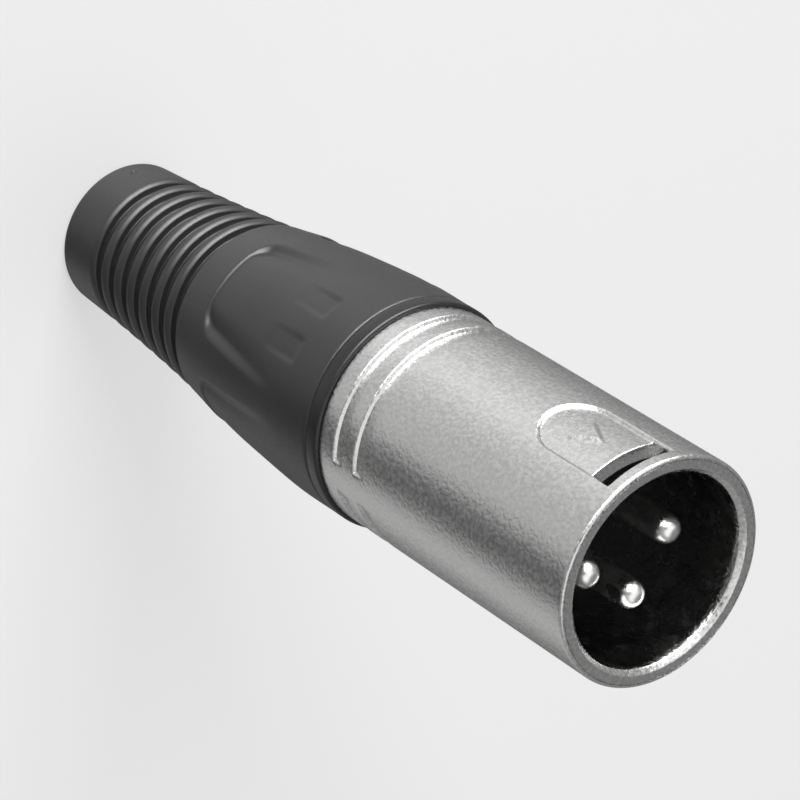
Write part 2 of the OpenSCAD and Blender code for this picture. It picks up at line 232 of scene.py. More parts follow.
class ContactSizes(bpy.types.PropertyGroup):
    """Sizes of the contacts"""

    pin_radius: length("Pin radius", "Radius of a contact pin", 1.2)
    cup_radius: length("Cup radius", "Radius of a solder cup and of the shank", 1.4)
    cup_bore: length("Cup bore", "Radius of the hole in a solder cup", 1)
    cup_deep: length("Cup depth", "Depth of the hole in a solder cup", 4.2)
    cup_open: length("Cup opening", "Length of the cut that opens a cup to one side", 2.8)
    root_radius: length("Root radius", "Radius of the root of a pin, inside the face of the insert", 1)
    shoulder: length("Shoulder", "Distance from the face of the insert to the shoulder of a shank", 0.5)
    facets: IntProperty(name="Facets", description="Facets round a contact", default=64, min=12, max=128)


class Finishes(bpy.types.PropertyGroup):
    """Colours and roughness of the finishes"""

    nickel: colour("Nickel", "Colour of the plated shell", (0.61, 0.61, 0.605))
    # Darker nickel colour: painted shade for the walls inside the mouth and the thread's socket
    shade_painted_nickel: colour("Shaded nickel", "Colour of the plating inside the shell", (0.34, 0.34, 0.335))
    nickel_rough: share("Nickel roughness", "Roughness of the plated shell", 0.27)
    silver: colour("Silver", "Colour of the contacts", (0.78, 0.775, 0.76))
    rubber: colour("Rubber", "Colour of the boot", (0.016, 0.016, 0.0165))
    rubber_rough: share("Rubber roughness", "Roughness of the boot", 0.40)
    moulding: colour("Black moulding", "Colour of the insert and the gland", (0.014, 0.014, 0.015))
    acetal: colour("Chuck plastic", "Colour of the chuck", (0.03, 0.03, 0.032))
    tin: colour("Tin", "Colour of the ground tab", (0.62, 0.61, 0.57))


class StageSizes(bpy.types.PropertyGroup):
    """Camera, floor and light"""

    floor_colour: colour("Floor", "Colour of the floor", (0.86, 0.86, 0.86))
    floor_size: FloatProperty(name="Floor size", description="Width of the floor", default=6, unit="LENGTH")
    lens: FloatProperty(name="Lens", description="Focal length of the camera in millimetres", default=171)
    key_power: FloatProperty(name="Key light", description="Power of the key light", default=4,
                             unit="POWER")
    fill_power: FloatProperty(name="Fill light", description="Power of the fill light", default=2.2,
                              unit="POWER")
    ambient: FloatProperty(name="Ambient", description="Strength of the light from all round", default=0.28)
    mirrored: FloatProperty(name="Mirrored cards", description="Strength of the cards seen in the gloss",
                            default=1.3)
    floor_glow: share("Floor evenness", "How far the camera sees the floor evenly bright", 0.65)


GROUPS = {
    "plug_shell": ShellSizes,
    "plug_gland": GlandSizes,
    "plug_boot": BootSizes,
    "plug_contacts": ContactSizes,
    "plug_finishes": Finishes,
    "plug_stage": StageSizes,
}


def soft(t):
    """Smooth step from 0 to 1"""
    t = np.clip(t, 0, 1)
    return t * t * (3 - 2 * t)


def arc(centre_a, centre_b, radius, start, end, steps):
    """Points on an arc, as pairs"""
    turns = np.radians(np.linspace(start, end, steps + 1))
    return [(centre_a + radius * cos(t), centre_b + radius * sin(t)) for t in turns]


def link(name, data):
    """Adds an object with this data to the scene"""
    piece = bpy.data.objects.new(name, data)
    bpy.context.scene.collection.objects.link(piece)
    return piece


def closed_grid(points, skip=None):
    """Vertices and quads of a grid that closes on itself both ways; skip marks quads that are left out"""
    rows, columns = points.shape[:2]
    index = np.arange(rows * columns).reshape(rows, columns)
    up = np.roll(index, -1, axis=0)
    along = np.roll(index, -1, axis=1)
    both = np.roll(up, -1, axis=1)
    quads = np.stack([index, along, both, up], axis=-1)
    if skip is not None:
        quads = quads[~skip]
    return points.reshape(-1, 3), quads.reshape(-1, 4).tolist(), index


def solid_mesh(name, vertices, faces, sharp):
    """Smooth-shaded mesh with edges sharp above an angle in degrees"""
    mesh = bpy.data.meshes.new(name)
    mesh.from_pydata(np.asarray(vertices).tolist(), [], faces)
    mesh.validate()
    mesh.shade_smooth()
    mesh.set_sharp_from_angle(angle=radians(sharp))
    mesh.update()
    return mesh


def lathe(name, profile, facets, sharp):
    """Solid turned from a closed loop of (radius, height) pairs, clear of the axis"""
    loop = np.array(profile)
    turns = np.arange(facets) * 2 * pi / facets
    points = np.empty((len(loop), facets, 3))
    points[..., 0] = loop[:, :1] * np.cos(turns)
    points[..., 1] = loop[:, :1] * np.sin(turns)
    points[..., 2] = loop[:, 1:]
    vertices, faces, _ = closed_grid(points)
    return solid_mesh(name, vertices, faces, sharp)


# Finishes


def new_material(name):
    """Material with its node tree, its shader and its texture coordinates"""
    material = bpy.data.materials.new(name)
    material.use_nodes = True
    shader = material.node_tree.nodes["Principled BSDF"]
    place = material.node_tree.nodes.new("ShaderNodeTexCoord")
    return material, material.node_tree, shader, place


def noise(tree, place, size, detail):
    """Noise whose features are about as wide as size"""
    node = tree.nodes.new("ShaderNodeTexNoise")
    node.inputs["Scale"].default_value = 1 / size
    node.inputs["Detail"].default_value = detail
    node.inputs["Roughness"].default_value = 0.55
    tree.links.new(place.outputs["Object"], node.inputs["Vector"])
    return node.outputs["Fac"]


def spread(tree, value, low, high, start=0.3, end=0.7, kind="LINEAR"):
    """Value stretched from start..end to low..high; the usual start and end are those of noise"""
    node = tree.nodes.new("ShaderNodeMapRange")
    node.interpolation_type = kind
    node.inputs["From Min"].default_value = start
    node.inputs["From Max"].default_value = end
    node.inputs["To Min"].default_value = low
    node.inputs["To Max"].default_value = high
    tree.links.new(value, node.inputs["Value"])
    return node.outputs["Result"]


def calculate(tree, operation, first, second):
    """Math node on two sockets, or on a socket and a number"""
    node = tree.nodes.new("ShaderNodeMath")
    node.operation = operation
    for socket, value in zip(node.inputs, (first, second)):
        if isinstance(value, bpy.types.NodeSocket):
            tree.links.new(value, socket)
        else:
            socket.default_value = value
    return node.outputs["Value"]


def tint(tree, value, rgb, low, high):
    """Colour scaled by a value between low and high"""
    node = tree.nodes.new("ShaderNodeMix")
    node.data_type = "RGBA"
    node.inputs["A"].default_value = (*(low * c for c in rgb), 1)
    node.inputs["B"].default_value = (*(min(high * c, 1) for c in rgb), 1)
    tree.links.new(value, node.inputs["Factor"])
    return node.outputs["Result"]


def bump(tree, shader, value, height, below=None):
    """Relief of some height on the shader, over the relief below it"""
    node = tree.nodes.new("ShaderNodeBump")
    node.inputs["Distance"].default_value = height
    node.inputs["Strength"].default_value = 1
    tree.links.new(value, node.inputs["Height"])
    if below is not None:
        tree.links.new(below, node.inputs["Normal"])
    tree.links.new(node.outputs["Normal"], shader.inputs["Normal"])
    return node.outputs["Normal"]


def clouded(name, rgb, cloud, shades, roughs, grain, height):
    """Material whose colour and roughness drift with a cloud of noise, under a fine grain

    cloud and grain are each a size and a detail, shades the darkest and lightest share of the colour."""
    material, tree, shader, place = new_material(name)
    drift = noise(tree, place, *cloud)
    tree.links.new(tint(tree, drift, rgb, *shades), shader.inputs["Base Color"])
    tree.links.new(spread(tree, drift, *roughs), shader.inputs["Roughness"])
    bump(tree, shader, noise(tree, place, *grain), height)
    return material, shader


def plated(name, rgb, cloud, shades, roughs, grain, height):
    """Clouded metal"""
    material, shader = clouded(name, rgb, cloud, shades, roughs, grain, height)
    shader.inputs["Metallic"].default_value = 1
    return material


def moulding(name, rgb, rough, grain_size, grain_height):
    """Hard plastic with a faint moulded grain"""
    material, shader = clouded(name, rgb, (3 * MM, 2), (0.85, 1.15), (rough - 0.05, rough + 0.06),
                               (grain_size, 2), grain_height)
    shader.inputs["Specular IOR Level"].default_value = 0.45
    return material


def satin_nickel(finishes):
    """Nickel over a blasted casting: a fine grain that breaks up the reflections"""
    material, tree, shader, place = new_material("satin_nickel")
    shader.inputs["Metallic"].default_value = 1
    grain = noise(tree, place, 0.32 * MM, 1)
    pits = noise(tree, place, 1.1 * MM, 1)
    flecks = spread(tree, grain, 0, 1, 0.36, 0.66)
    tree.links.new(tint(tree, flecks, finishes.nickel, 0.9, 1.1), shader.inputs["Base Color"])
    rough = spread(tree, grain, finishes.nickel_rough - 0.05, finishes.nickel_rough + 0.07)
    tree.links.new(rough, shader.inputs["Roughness"])
    coarse = bump(tree, shader, pits, 0.010 * MM)
    bump(tree, shader, grain, 0.034 * MM, below=coarse)
    return material


def shade_painted_nickel(finishes):
    """Nickel darkened as painted shade on the walls inside the shell"""
    return plated("shade_painted_nickel", finishes.shade_painted_nickel, (1.5 * MM, 3), (0.8, 1.2), (0.2, 0.3),
                  (0.4 * MM, 1), 0.06 * MM)


def silver_plate(finishes):
    """Bright plating over fine lathe marks"""
    return plated("silver_plate", finishes.silver, (1.5 * MM, 2), (0.95, 1.04), (0.24, 0.34),
                  (0.15 * MM, 1), 0.0015 * MM)


def tinned_strip(finishes):
    """Uneven hot-dipped tin"""
    return plated("tinned_strip", finishes.tin, (0.8 * MM, 3), (0.85, 1.1), (0.28, 0.5),
                  (0.8 * MM, 3), 0.01 * MM)


def boot_rubber(finishes):
    """Dark elastomer with the soft grain of its mould"""
    material, tree, shader, place = new_material("boot_rubber")
    cloud = noise(tree, place, 5 * MM, 3)
    grain = noise(tree, place, 0.16 * MM, 2)
    swell = noise(tree, place, 1.1 * MM, 1)
    tree.links.new(tint(tree, cloud, finishes.rubber, 0.85, 1.2), shader.inputs["Base Color"])
    rough = spread(tree, grain, finishes.rubber_rough - 0.05, finishes.rubber_rough + 0.08)
    tree.links.new(rough, shader.inputs["Roughness"])
    shader.inputs["Specular IOR Level"].default_value = 0.66
    wide = bump(tree, shader, swell, 0.003 * MM)
    bump(tree, shader, grain, 0.004 * MM, below=wide)
    return material


def finish(piece, material):
    """Makes this the piece's only material"""
    piece.data.materials.clear()
    piece.data.materials.append(material)


def finish_node(node, material):
    """Gives a CAD node a better material"""
    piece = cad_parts[node]
    if not piece.material_slots:
        raise RuntimeError("the CAD node " + node + " has no material slot")
    for place in piece.material_slots:
        place.material = material


# Shell


def shell_columns(sizes):
    """Angles round the shell from -Y: fine over the recess and at the ends of the ring gaps"""
    half = sizes.recess_width / 2
    edge = half + MM * np.array(RECESS_COLUMNS)
    across = np.concatenate([np.arange(0, half - 0.31 * MM, RECESS_PITCH), edge, [half + RECESS_LIP]])
    near = np.degrees(np.arcsin(across / SHELL_R))
    gap = np.degrees(sizes.ring_gap) / 2
    ends = np.array(RING_COLUMNS)
    rest = np.concatenate([np.arange(near[-1] + 0.6, 90 - gap - 2, 2.0),
                           90 - gap + ends,
                           np.linspace(90 - gap + 2, 90 + gap - 2, 7),
                           90 + gap - ends[::-1],
                           np.arange(90 + gap + 3, 179, 2.0)])
    side = np.concatenate([near[1:], rest])
    return np.radians(np.concatenate([-side[::-1], [0], side, [180]]))


def ledge_profile(ledge, ramp, deep):
    """Heights and depths of one saw-tooth ring, from the boot side to the mouth side"""
    z = RIM - ledge
    foot = LEDGE_STEP[0][-1] * MM
    trace = 0.008 * MM
    runout = 0.15 * MM
    return ([(z + up * MM, deep * part) for up, part in zip(*LEDGE_STEP)]
            + [(z + foot + (ramp - foot) * t, deep * (1 - t)) for t in (0.15, 0.3, 0.5, 0.7, 0.85)]
            + [(z + ramp, trace), (z + ramp + runout, 0)])


def recess_depth(sizes, x, z):
    """Depth under the shell's surface of the recess and its arrow, at width x and height z"""
    half = sizes.recess_width / 2
    bottom = RIM - sizes.recess_end
    top = RIM - sizes.bridge
    centre = bottom + half
    outside = np.where(z >= centre, np.abs(x) - half, np.hypot(x, z - centre) - half)
    floor = sizes.recess_deep * np.interp(-outside / MM, *RECESS_EDGE) * (z < top - 1e-9)
    tip = RIM - sizes.arrow_tip
    base = tip - sizes.arrow_long
    slope = hypot(sizes.arrow_long, sizes.arrow_wide / 2)
    flank = (np.abs(x) * sizes.arrow_long - (tip - z) * sizes.arrow_wide / 2) / slope
    in_arrow = np.maximum(base - z, flank)
    raised = sizes.arrow_rise * soft(-in_arrow / sizes.arrow_flank)
    return floor - raised


def window_places(sizes):
    """Heights of the rear and front edges of the latch window"""
    front = RIM - sizes.bridge
    return front - sizes.window, front


def window_edges(sizes, x, z):
    """Rounding of the front and rear edges of the latch window"""
    half = sizes.recess_width / 2
    rear, front = window_places(sizes)
    r = sizes.window_edge
    drop = np.zeros_like(z)
    for near, into in ((rear, z - (rear - r)), (front, (front + r) - z)):
        inside = (np.abs(z - near) <= r + 1e-9) & (into >= 0)
        t = np.clip(into, 0, r)
        drop = np.where(inside, r - np.sqrt(np.maximum(r * r - t * t, 0)), drop)
    return drop * (1 - soft((np.abs(x) - half + sizes.recess_wall) / sizes.recess_wall))


def shell_angle(sizes, theta, radius):
    """Angle of a column at some radius: straight walls over the recess, and radial ones away from it"""
    edge = asin((sizes.recess_width / 2 + RECESS_LIP) / SHELL_R)
    size = np.abs(theta)
    over = np.arcsin(np.clip(SHELL_R * np.sin(np.minimum(size, edge)) / radius, -1, 1))
    shift = np.arcsin(np.minimum(SHELL_R * sin(edge) / radius, 1)) - edge
    away = size + shift * (1 - soft((size - edge) / RECESS_BLEND))
    return np.sign(theta) * np.where(size <= edge, over, away)


def shell_outside(sizes):
    """Heights up the outside of the shell, each with the depth of the rings there"""
    window_rear, window_front = window_places(sizes)
    recess_low = RIM - sizes.recess_end
    edge = sizes.window_edge
    window_low = window_rear - edge
    rings = (ledge_profile(sizes.ledge_2, sizes.ramp_2, sizes.ledge_deep)
             + ledge_profile(sizes.ledge_1, sizes.ramp_1, sizes.ledge_deep))
    ring_top = rings[-1][0]
    heights = np.concatenate([np.linspace(ring_top + 0.8 * MM, recess_low - 0.35 * MM, 12),
                              np.arange(recess_low - 0.25 * MM, window_low - 0.03 * MM, RECESS_PITCH),
                              window_low + edge * np.array([0, 0.2, 0.4, 0.6, 0.8, 0.92, 1]),
                              np.linspace(window_rear + 0.3 * MM, window_front - 0.03 * MM, 5),
                              window_front + edge * np.array([0, 0.08, 0.2, 0.4, 0.6, 0.8, 1]),
                              [RIM - sizes.rim_round - 0.3 * MM]])
    return [(JOINT + 0.15 * MM, 0), (JOINT + 0.6 * MM, 0)] + rings + [(z, 0) for z in heights]


def shell_inside(sizes):
    """Radii and heights over the rim, down the mouth and the thread's socket, and round the rear edge"""
    r = sizes.rim_round
    line = sizes.rim_line
    chamfer = sizes.rim_chamfer
    bore = SHELL_R - sizes.mouth_wall
    socket = SHELL_R - sizes.thread_wall
    rear_round = 0.15 * MM
    window_rear, window_front = window_places(sizes)
    return [*arc(SHELL_R - r, RIM - r, r, 0, 90, 8),
            (SHELL_R - r - line / 3, RIM - line), (SHELL_R - r - 2 * line / 3, RIM - line),
            (SHELL_R - r - line, RIM),
            (bore + chamfer + 0.1 * MM, RIM), (bore + chamfer + 0.03 * MM, RIM - 0.01 * MM),
            (bore + chamfer, RIM - 0.03 * MM), (bore + 0.03 * MM, RIM - chamfer),
            (bore, RIM - chamfer - 0.03 * MM), (bore, window_front), (bore, window_rear),
            (bore, INSERT_FACE + 6 * MM), (bore, INSERT_FACE), (socket, INSERT_FACE),
            (socket, JOINT + 7 * MM), (socket, JOINT + 0.3 * MM), (socket + 0.2 * MM, JOINT),
            *arc(SHELL_R - rear_round, JOINT + rear_round, rear_round, -90, 0, 4)[:-1]]


def shell_mesh(sizes):
    """Outer wall with recess, arrow and rings, the rim, the stepped bore and the window cut through"""
    theta = shell_columns(sizes)
    outer = shell_outside(sizes)
    inner = shell_inside(sizes)
    rows = len(outer)
    x = SHELL_R * np.sin(theta)[None, :]
    z, rings = (np.array(part)[:, None] * np.ones_like(x) for part in zip(*outer))
    x = x * np.ones_like(z)
    facing = np.cos(theta)[None, :] > 0.3
    turned = np.degrees(np.abs(np.abs(theta) - pi / 2))[None, :]
    in_ring = soft((turned - np.degrees(sizes.ring_gap) / 2 + RING_START) / RING_RISE)
    cut = np.where(facing, recess_depth(sizes, x, z) + window_edges(sizes, x, z), 0)
    inner_r, inner_z = (np.array(part)[:, None] * np.ones_like(x[:1]) for part in zip(*inner))
    radius = np.concatenate([SHELL_R - rings * in_ring - cut, inner_r])
    height = np.concatenate([z, inner_z])
    turn = shell_angle(sizes, np.broadcast_to(theta, radius.shape), radius)
    points = np.stack([radius * np.sin(turn), -radius * np.cos(turn), height], axis=-1)

    # The window: a hole in the outer wall and one in the bore, joined by four walls
    window_rear, window_front = window_places(sizes)
    slot = np.arcsin((sizes.recess_width / 2 - sizes.recess_wall) / SHELL_R) + 1e-6
    columns = np.nonzero(np.abs(theta) <= slot)[0]
    left, right = columns[0], columns[-1]
    first = np.argmin(np.abs(height[:rows, 0] - window_rear))
    last = np.argmin(np.abs(height[:rows, 0] - window_front))
    bore_front = rows + [place for _, place in inner].index(window_front)
    bore_rear = bore_front + 1
    skip = np.zeros(radius.shape, dtype=bool)
    skip[first:last, left:right] = True
    skip[bore_front, left:right] = True
    vertices, faces, index = closed_grid(points, skip)
    for j in range(left, right):
        faces.append([index[first, j], index[first, j + 1], index[bore_rear, j + 1], index[bore_rear, j]])
        faces.append([index[last, j + 1], index[last, j], index[bore_front, j], index[bore_front, j + 1]])
    up_left = [index[i, left] for i in range(first, last + 1)]
    up_right = [index[i, right] for i in range(first, last + 1)]
    faces.append([index[bore_front, left], *up_left[::-1], index[bore_rear, left]])
    faces.append([index[bore_rear, right], *up_right, index[bore_front, right]])
    return solid_mesh("shell_casting", vertices, [[int(i) for i in face] for face in faces], 48)


def paint_well_shade(piece, sizes, material):
    """Gives the walls inside the mouth and the socket the darker nickel that paints their shade"""
    piece.data.materials.append(material)
    margin = 0.03 * MM
    well = SHELL_R - sizes.mouth_wall + margin
    socket = SHELL_R - sizes.thread_wall + margin
    low = RIM - sizes.rim_chamfer - 0.02 * MM
    for face in piece.data.polygons:
        reach = hypot(face.center.x, face.center.y)
        behind_step = face.center.z < INSERT_FACE
        if face.center.z < low and (reach < well or (behind_step and reach < socket)):
            face.material_index = 1


# Threads


def helix_tree():
    """Geometry Nodes tree of one helical ridge: a spiral that carries a trapezium"""
    tree = bpy.data.node_groups.new("thread_ridge", "GeometryNodeTree")
    face = tree.interface
    face.new_socket("Geometry", in_out="OUTPUT", socket_type="NodeSocketGeometry")
    for name, value in (("Radius", 8 * MM), ("Pitch", 1 * MM), ("Turns", 5.0), ("Start", 0.0),
                        ("Inner Width", 0.7 * MM), ("Outer Width", 0.25 * MM), ("Depth", 0.5 * MM)):
        face.new_socket(name, in_out="INPUT", socket_type="NodeSocketFloat").default_value = value
    face.new_socket("Steps", in_out="INPUT", socket_type="NodeSocketInt").default_value = 96
    face.new_socket("Material", in_out="INPUT", socket_type="NodeSocketMaterial")
    nodes = tree.nodes
    join = tree.links.new
    given = nodes.new("NodeGroupInput")
    spiral = nodes.new("GeometryNodeCurveSpiral")
    rise = calculate(tree, "MULTIPLY", given.outputs["Pitch"], given.outputs["Turns"])
    join(given.outputs["Steps"], spiral.inputs["Resolution"])
    join(given.outputs["Turns"], spiral.inputs["Rotations"])
    join(given.outputs["Radius"], spiral.inputs["Start Radius"])
    join(given.outputs["Radius"], spiral.inputs["End Radius"])
    join(rise, spiral.inputs["Height"])
    upright = nodes.new("GeometryNodeSetCurveNormal")
    upright.mode = "Z_UP"
    join(spiral.outputs["Curve"], upright.inputs["Curve"])
    section = nodes.new("GeometryNodeCurvePrimitiveQuadrilateral")
    section.mode = "TRAPEZOID"
    join(given.outputs["Inner Width"], section.inputs["Bottom Width"])
    join(given.outputs["Outer Width"], section.inputs["Top Width"])
    join(given.outputs["Depth"], section.inputs["Height"])
    section.inputs["Offset"].default_value = 0
    lay = nodes.new("GeometryNodeTransform")
    lay.inputs["Rotation"].default_value = (0, 0, pi / 2)
    join(section.outputs["Curve"], lay.inputs["Geometry"])
    sweep = nodes.new("GeometryNodeCurveToMesh")
    sweep.inputs["Fill Caps"].default_value = True
    join(upright.outputs["Curve"], sweep.inputs["Curve"])
    join(lay.outputs["Geometry"], sweep.inputs["Profile Curve"])
    lift = nodes.new("ShaderNodeCombineXYZ")
    join(given.outputs["Start"], lift.inputs["Z"])
    place = nodes.new("GeometryNodeTransform")
    join(sweep.outputs["Mesh"], place.inputs["Geometry"])
    join(lift.outputs["Vector"], place.inputs["Translation"])
    real = nodes.new("GeometryNodeRealizeInstances")
    join(place.outputs["Geometry"], real.inputs["Geometry"])
    dress = nodes.new("GeometryNodeSetMaterial")
    join(real.outputs["Geometry"], dress.inputs["Geometry"])
    join(given.outputs["Material"], dress.inputs["Material"])
    result = nodes.new("NodeGroupOutput")
    join(dress.outputs["Geometry"], result.inputs["Geometry"])
    return tree


def grown(name, tree, values):
    """Object made by a Geometry Nodes tree with the given inputs, turned into a plain mesh"""
    seed = link(name + "_seed", bpy.data.meshes.new(name + "_seed"))
    modifier = seed.modifiers.new("grow", "NODES")
    modifier.node_group = tree
    for socket in tree.interface.items_tree:
        if socket.item_type == "SOCKET" and socket.in_out == "INPUT" and socket.name in values:
            modifier[socket.identifier] = values[socket.name]
    ready = seed.evaluated_get(bpy.context.evaluated_depsgraph_get())
    mesh = bpy.data.meshes.new_from_object(ready)
    bpy.data.objects.remove(seed)
    mesh.name = name
    if not mesh.polygons:
        raise RuntimeError(name + " came out empty")
    return link(name, mesh)


def thread_ridge(name, gland, material, radius, turns, start, inner, outer):
    """One thread, with the widths of its inner and outer side"""
    return grown(name, helix_tree(), {
        "Radius": radius,
        "Pitch": gland.thread_pitch,
        "Turns": turns,
        "Start": start,
        "Inner Width": inner,
        "Outer Width": outer,
        "Depth": gland.thread_deep,
        "Steps": gland.thread_steps,
        "Material": material,
    })


# Gland


def gland_profile(sizes):
    """Radii and heights round the section of the gland core: neck, flange, rear end, cone and bore"""
    front = FLANGE_HIGH.z
    neck = sizes.neck_radius
    root = neck - sizes.thread_deep
    bevel = 0.15 * MM
    e = sizes.flange_edge
    cone = BOOT_FRONT - sizes.cone_front
    rear = BOOT_FRONT - sizes.rear
    return [(sizes.bore_radius + bevel, front), (root - bevel, front),
            (root, front - bevel), (root, JOINT + 0.02 * MM), (root, JOINT), (FLANGE_R - e, JOINT),
            *arc(FLANGE_R - e, JOINT - e, e, 80, 0, 5),
            *arc(FLANGE_R - e, BOOT_FRONT + e, e, 0, -90, 5),
            (FLANGE_R - e - 0.25 * MM, BOOT_FRONT), (neck, BOOT_FRONT),
            (neck, BOOT_FRONT - sizes.taper), (sizes.rear_radius, rear), (sizes.throat_radius, rear),
            (sizes.throat_radius, cone - sizes.cone_long), (sizes.bore_radius, cone),
            (sizes.bore_radius, front - bevel)][::-1]


# Boot


def boot_radius(z):
    """Radius of the boot without its grooves and scoops"""
    places = np.array([part * BOOT_FRONT for part, _ in BOOT_KNOTS])
    radii = np.array([FLANGE_R - inward * MM for _, inward in BOOT_KNOTS])
    last = len(BOOT_KNOTS) - 1
    before = np.maximum(np.arange(last + 1) - 1, 0)
    after = np.minimum(np.arange(last + 1) + 1, last)
    slope = (radii[after] - radii[before]) / (places[after] - places[before])
    i = np.clip(np.searchsorted(places, z, side="right") - 1, 0, last - 1)
    h = places[i + 1] - places[i]
    t = (z - places[i]) / h
    return ((2 * t ** 3 - 3 * t ** 2 + 1) * radii[i] + (t ** 3 - 2 * t ** 2 + t) * h * slope[i]
            + (3 * t ** 2 - 2 * t ** 3) * radii[i + 1] + (t ** 3 - t ** 2) * h * slope[i + 1])


def boot_rows(sizes):
    """Heights and inward offsets up the outside of the boot, through its grooves"""
    rows = [(z, 0) for z in np.arange(sizes.rear_round + 0.1 * MM, 3 * MM, 0.12 * MM)]
    rows += [(z, 0) for z in (3.4 * MM, 4 * MM, 4.6 * MM)]
    half = sizes.groove_pitch / 2
    side = [(half - sizes.rib_round * t, sizes.rib_drop * t * t) for t in np.linspace(0.04, 1, 9)]
    floor = sizes.groove_floor
    deep = sizes.groove_deep
    side += [(floor + 0.02 * MM, sizes.rib_drop + 0.08 * MM), (floor, deep - 0.05 * MM)]
    side += [(floor - q * MM, deep) for q in (0.05, 0.07, 0.1)]
    whole = [(-u, d) for u, d in side] + [(0, deep)] + side[::-1]
    for k in range(sizes.groove_count):
        rows += [(sizes.collar + k * sizes.groove_pitch + u, d) for u, d in whole]
    last = rows[-1][0]
    rows += [(z, 0) for z in np.linspace(last + 0.5 * MM, sizes.scoop_rear - 0.25 * MM, 7)]
    notch = BOOT_FRONT - sizes.notch_land
    rows += [(z, 0) for z in np.arange(sizes.scoop_rear - 0.08 * MM, sizes.scoop_rear + 2.4 * MM, 0.08 * MM)]
    rows += [(z, 0) for z in np.arange(sizes.scoop_rear + 2.5 * MM, notch - 0.5 * MM, 0.25 * MM)]
    rows += [(z, 0) for z in notch + MM * np.array([-0.35, -0.2, -0.14, -0.1, -0.06, -0.03, 0, 0.04, 0.1])]
    top = BOOT_FRONT - sizes.front_round
    rows += [(z, 0) for z in np.linspace(notch + 0.3 * MM, top, 8)]
    return rows


def scoop_depth(sizes, turn, z):
    """Depth of the finger scoops and their grip notches at an angle and a height"""
    step = 2 * pi / sizes.scoop_count
    near = (turn - sizes.turn + step / 2) % step - step / 2
    around = np.abs(near) * SCOOP_R
    rear = sizes.scoop_rear
    front = BOOT_FRONT - sizes.scoop_land
    half = sizes.scoop_width / 2 * SCOOP_R
    corner = sizes.scoop_corner
    short = np.clip(1 - (z - rear) / corner, 0, 1)
    run = np.clip((z - rear) / (front - rear), 0, 1)
    half = half - sizes.scoop_flare * (0.5 - run)
    side = half - corner * (1 - np.sqrt(1 - short ** 2)) - around
    floor = np.interp(run, *SCOOP_RUN) * sizes.scoop_deep
    outward = soft((around / half - SCOOP_OUTWARD[0]) / SCOOP_OUTWARD[1])
    floor *= sizes.scoop_middle + (1 - sizes.scoop_middle) * outward
    edge = sizes.scoop_edge * (1 + CORNER_SOFTNESS * outward)
    scoop = floor * soft(side / sizes.scoop_side) * soft((z - rear) / edge)
    notch_front = BOOT_FRONT - sizes.notch_land
    notch_rear = notch_front - sizes.notch_long
    aside = (np.abs(np.abs(near) - sizes.notch_side) - sizes.notch_width / 2) * NOTCH_R
    along = np.clip((z - notch_rear) / sizes.notch_long, 0, 1)
    sink = NOTCH_REAR_SINK * sizes.scoop_deep * (1 - along) + sizes.notch_deep * along
    edge = soft(-aside / NOTCH_SIDE) * soft((notch_front - z) / NOTCH_FRONT)
    notch = sink * edge * soft((z - notch_rear) / NOTCH_REAR)
    return np.maximum(scoop, notch)


def boot_inside(sizes, gland):
    """Radii and heights over the front edge, down the hole round the gland core, and round the rear edge"""
    front = boot_radius(np.array([BOOT_FRONT]))[0]
    rear = boot_radius(np.array([sizes.rear_round]))[0]
    r = sizes.front_round
    q = sizes.rear_round
    core_rear = BOOT_FRONT - gland.rear
    hole = sizes.cable_radius
    return [*arc(front - r, BOOT_FRONT - r, r, 20, 90, 4),
            (gland.neck_radius, BOOT_FRONT), (gland.neck_radius, BOOT_FRONT - gland.taper),
            (gland.rear_radius, core_rear), (gland.throat_radius, core_rear),
            (hole, core_rear - 3 * MM), (hole, 10 * MM),
            (hole, 0.3 * MM), (hole + 0.1 * MM, 0.08 * MM), (hole + 0.3 * MM, 0),
            *arc(rear - q, q, q, -90, 0, 7)]


def boot_mesh(sizes, gland):
    """Sleeve with its grooves, scoops, notches and moulding nub, hollow round the gland core"""
    turn = np.arange(BOOT_COLUMNS)[None, :] * 2 * pi / BOOT_COLUMNS
    z, inward = (np.array(part)[:, None] * np.ones_like(turn) for part in zip(*boot_rows(sizes)))
    nub = np.hypot(((turn - sizes.nub_turn + pi) % (2 * pi) - pi) * COLLAR_R, z - sizes.nub_up)
    raised = sizes.nub_rise * soft(1 - nub / sizes.nub_size)
    outer_r = boot_radius(z) - inward - scoop_depth(sizes, turn, z) + raised
    inner_r, inner_z = (np.array(part)[:, None] * np.ones_like(turn)
                        for part in zip(*boot_inside(sizes, gland)))
    radius = np.concatenate([outer_r, inner_r])
    turn = np.broadcast_to(turn, radius.shape)
    points = np.stack([radius * np.cos(turn), radius * np.sin(turn), np.concatenate([z, inner_z])], axis=-1)
    vertices, faces, _ = closed_grid(points)
    return solid_mesh("boot_sleeve", vertices, faces, 62)


# Contacts


